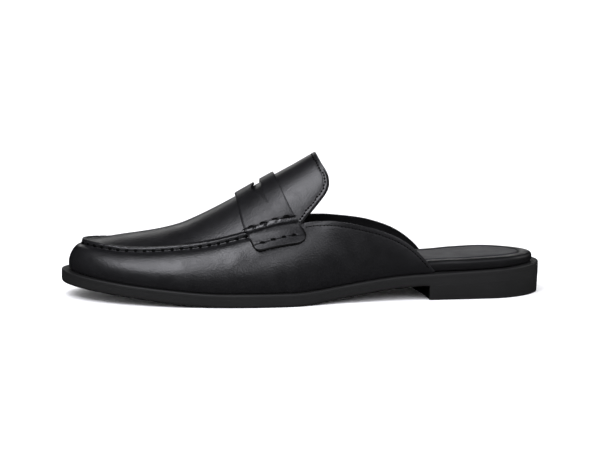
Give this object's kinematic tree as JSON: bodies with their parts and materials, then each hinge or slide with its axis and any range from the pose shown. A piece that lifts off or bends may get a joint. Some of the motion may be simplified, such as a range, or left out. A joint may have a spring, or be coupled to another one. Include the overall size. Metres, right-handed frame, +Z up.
{
  "type": "loafer mule",
  "caption": "Backless loafer for the left foot: moccasin-seamed apron, slotted saddle strap, padded footbed, welted sole and low stacked-look heel.",
  "frame": {"origin": "under the middle of the shoe's box, on the plane that the sole stands on", "axes": "-X towards the toe, -Y towards the outer side of the foot, +Z up"},
  "size_m": [0.304, 0.104, 0.09],
  "materials": {
    "upper_leather": "satin",
    "strap_leather": "satin",
    "footbed_leather": "satin",
    "sock_leather": "matte",
    "welt_edge": "satin",
    "sole_rubber": "matte",
    "heel_rubber": "matte"
  },
  "bodies": {
    "root": {"outsole": "sole_rubber", "heel": "heel_rubber", "welt": "welt_edge", "footbed": "footbed_leather", "sock_lining": "sock_leather", "upper": "upper_leather", "saddle_strap": "strap_leather"}
  },
  "joints": []
}
